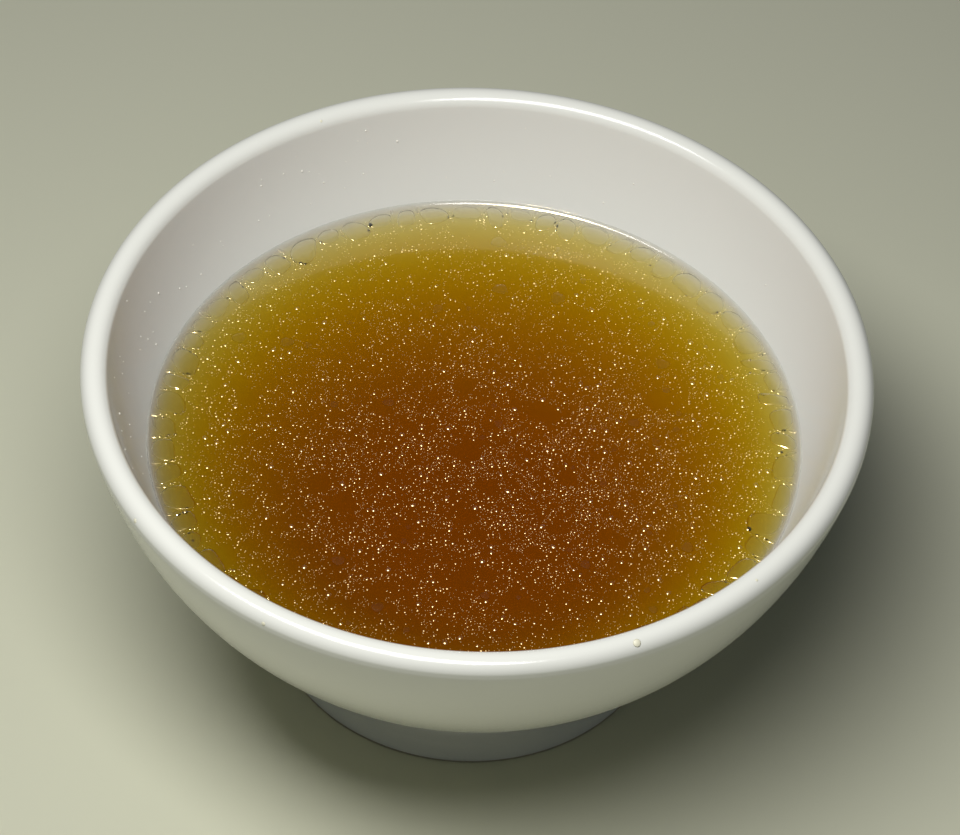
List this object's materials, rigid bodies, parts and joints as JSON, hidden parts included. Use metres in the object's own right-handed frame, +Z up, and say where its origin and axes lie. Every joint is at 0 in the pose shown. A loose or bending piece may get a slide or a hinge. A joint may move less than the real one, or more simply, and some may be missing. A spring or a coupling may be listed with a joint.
{
  "type": "bowl of consomme",
  "caption": "Thick-lipped footed soup bowl in white glazed stoneware, filled with clear amber broth that carries round eyes and edge pools of fat.",
  "frame": {"origin": "middle of the foot ring's underside, where the bowl stands", "axes": "+Z up along the bowl's axis; the bowl is round, so X and Y are any two level directions"},
  "size_m": [0.15, 0.15, 0.074],
  "materials": {
    "white_glaze": "gloss",
    "clear_broth": "polished"
  },
  "bodies": {
    "root": {"bowl": "white_glaze", "broth": "clear_broth"}
  },
  "joints": []
}
